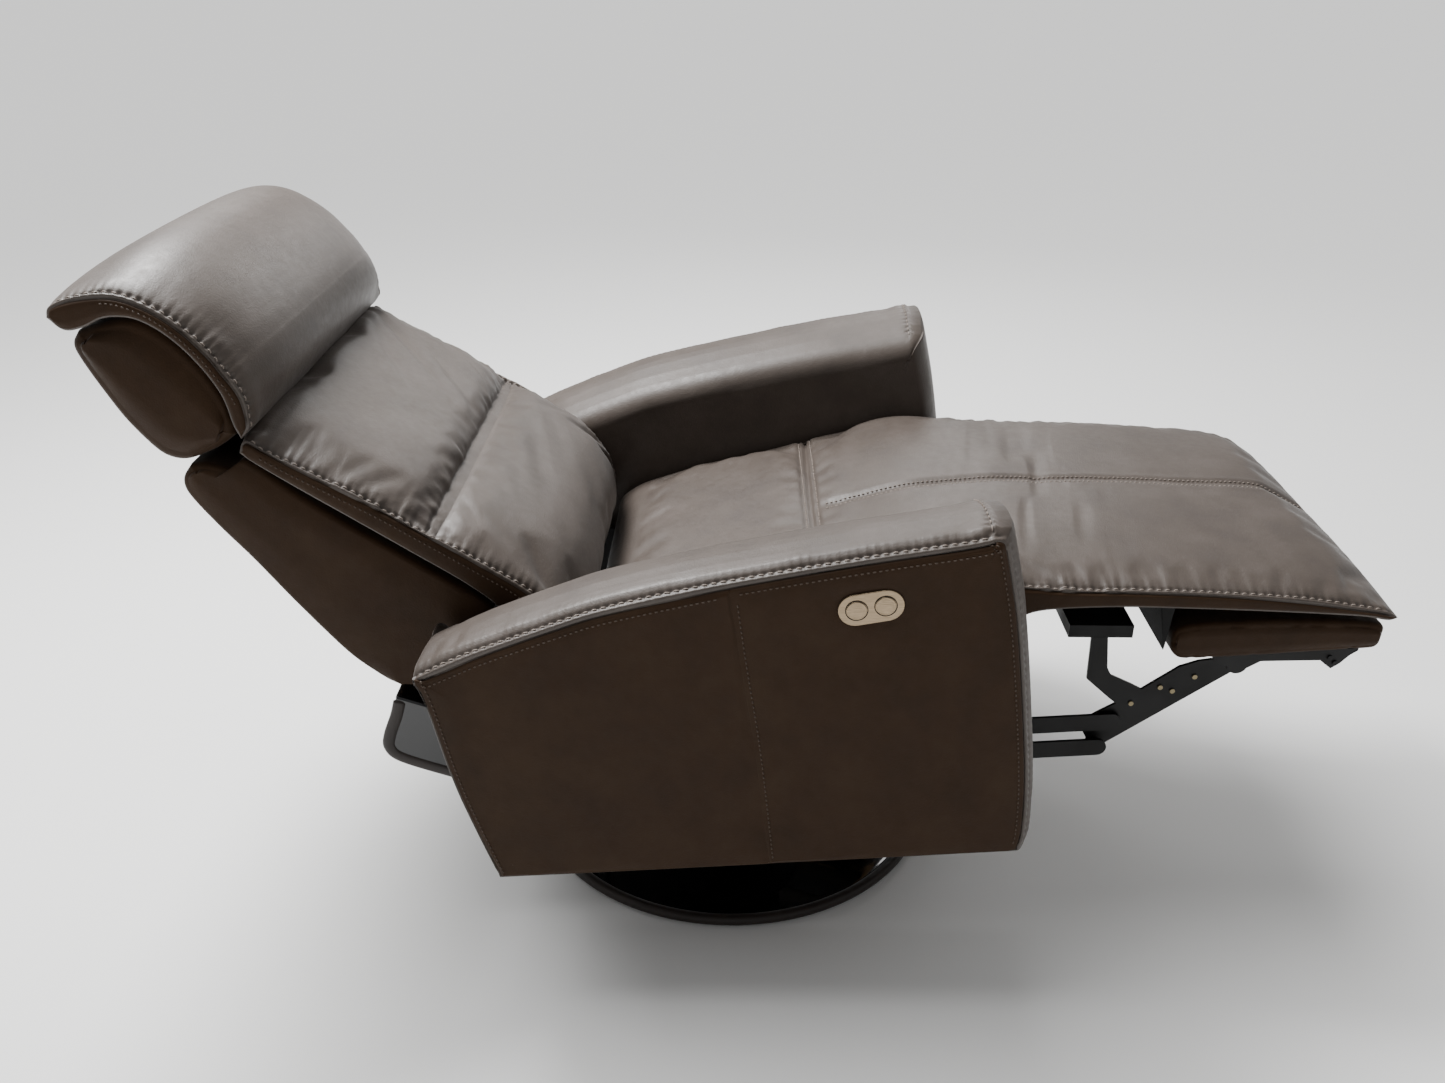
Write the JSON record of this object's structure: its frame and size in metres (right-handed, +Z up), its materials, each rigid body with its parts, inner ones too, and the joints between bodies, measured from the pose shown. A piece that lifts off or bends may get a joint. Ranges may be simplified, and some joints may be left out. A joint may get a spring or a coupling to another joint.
{
  "type": "recliner armchair",
  "caption": "Power recliner armchair in saddle-stitched leather with a folding footrest, tilting headrest, oval control plate and a round swivel base.",
  "frame": {"origin": "on the floor, on the swivel axis, at the centre of the round base", "axes": "+Z up; -Y is the way the sitter faces, so the footrest is at -Y and the headrest at +Y; +X is the sitter's left"},
  "size_m": [0.8064, 1.4462, 0.8294],
  "materials": {
    "felt": "needled dark grey felt",
    "gloss_black_base": "gloss black lacquer on pressed steel",
    "satin_black_steel": "satin black powder coat on steel",
    "zinc_fasteners": "yellowish zinc plate",
    "nylon": "natural nylon",
    "plywood": "raw plywood",
    "elastic_webbing": "woven elastic webbing",
    "leather_top": "smooth dark taupe leather, satin",
    "leather_side": "smooth dark brown leather, satin",
    "gloss_black_shroud": "gloss black moulded plastic",
    "black_moulding": "matt black moulded plastic",
    "brushed_stainless": "brushed stainless steel",
    "black_board": "black stained board"
  },
  "bodies": {
    "base": {"base_felt": "felt", "base_plate": "gloss_black_base", "base_column": "satin_black_steel", "base_bolts": "zinc_fasteners"},
    "back": {"back_shaft": "satin_black_steel", "back_brackets": "satin_black_steel", "back_frame": "plywood", "back_webbing": "elastic_webbing", "back_shell": "leather_side", "back_cushion": "leather_top", "headrest_hinge_plates": "satin_black_steel"},
    "headrest": {"headrest_arms": "satin_black_steel", "headrest_core": "leather_side", "headrest_pad": "leather_top"},
    "footrest": {"footrest_box": "leather_side", "footrest_pad": "leather_top", "footrest_brackets": "satin_black_steel"},
    "upper_links": {"upper_links": "satin_black_steel"},
    "lower_links": {"lower_links": "satin_black_steel"},
    "diagonal_links": {"diagonal_links": "satin_black_steel", "link_rivets": "zinc_fasteners", "middle_board": "black_board"},
    "motor": {"motor_housing": "black_moulding"},
    "motor_rod": {"motor_screw_rod": "zinc_fasteners"},
    "button_open": {"button_open": "brushed_stainless"},
    "button_close": {"button_close": "brushed_stainless"},
    "seat": {"swivel_bush": "nylon", "swivel_hub": "satin_black_steel", "swivel_plate": "satin_black_steel", "base_rails": "satin_black_steel", "cross_tubes": "satin_black_steel", "side_plate_right": "satin_black_steel", "side_plate_left": "satin_black_steel", "seat_rails": "plywood", "seat_webbing": "elastic_webbing", "seat_cushion": "leather_top", "arm_frame_right": "plywood", "arm_frame_left": "plywood", "arm_side_right": "leather_side", "arm_side_left": "leather_side", "arm_top_right": "leather_top", "arm_top_left": "leather_top", "arm_inner_right": "leather_top", "arm_inner_left": "leather_top", "arm_front_right": "leather_top", "arm_front_left": "leather_top", "arm_spacers": "zinc_fasteners", "shroud_brackets": "satin_black_steel", "rear_shroud": "gloss_black_shroud", "control_housing": "black_moulding", "control_plate": "brushed_stainless", "link_pins": "zinc_fasteners"}
  },
  "joints": [
    {"name": "swivel", "type": "hinge", "parent": "base", "child": "seat", "pos_m": [0, 0, 0], "axis": [0, 0, 1], "continuous": true},
    {"name": "back_recline", "type": "hinge", "parent": "seat", "child": "back", "pos_m": [0, 0.24, 0.35], "axis": [1, 0, 0], "range_deg": [0, 36]},
    {"name": "headrest_tilt", "type": "hinge", "parent": "back", "child": "headrest", "pos_m": [0, 0.52, 0.662], "axis": [1, 0, 0], "range_deg": [0, 35]},
    {"name": "footrest_fold", "type": "hinge", "parent": "seat", "child": "footrest", "pos_m": [0, -0.37, 0.485], "axis": [1, 0, 0], "range_deg": [0, 90]},
    {"name": "upper_link_turn", "type": "hinge", "parent": "seat", "child": "upper_links", "pos_m": [0, -0.236, 0.403], "axis": [1, 0, 0], "range_deg": [0, 90]},
    {"name": "lower_link_turn", "type": "hinge", "parent": "seat", "child": "lower_links", "pos_m": [0, -0.221, 0.371], "axis": [1, 0, 0], "range_deg": [0, 90]},
    {"name": "diagonal_link_turn", "type": "hinge", "parent": "footrest", "child": "diagonal_links", "pos_m": [0, -0.59, 0.374], "axis": [1, 0, 0], "range_deg": [-90, 0]},
    {"name": "motor_tilt", "type": "hinge", "parent": "seat", "child": "motor", "pos_m": [0, -0.028, 0.206], "axis": [1, 0, 0], "range_deg": [-3.1, 0]},
    {"name": "motor_stroke", "type": "slide", "parent": "motor", "child": "motor_rod", "axis": [0, 0.9506, 0.3105], "range_m": [0, 0.0385]},
    {"name": "button_open_press", "type": "slide", "parent": "seat", "child": "button_open", "axis": [1, 0, 0], "range_m": [0, 0.0015], "stiffness_N_per_m": 900},
    {"name": "button_close_press", "type": "slide", "parent": "seat", "child": "button_close", "axis": [1, 0, 0], "range_m": [0, 0.0015], "stiffness_N_per_m": 900}
  ],
  "couplings": [
    {"joint": "footrest_fold", "follows": "back_recline", "ratio": 2.5},
    {"joint": "upper_link_turn", "follows": "back_recline", "ratio": 2.5},
    {"joint": "lower_link_turn", "follows": "back_recline", "ratio": 2.5},
    {"joint": "diagonal_link_turn", "follows": "back_recline", "ratio": -2.5},
    {"joint": "motor_tilt", "follows": "back_recline", "ratio": -0.084073},
    {"joint": "motor_stroke", "follows": "back_recline", "m_per_rad": 0.061057}
  ]
}
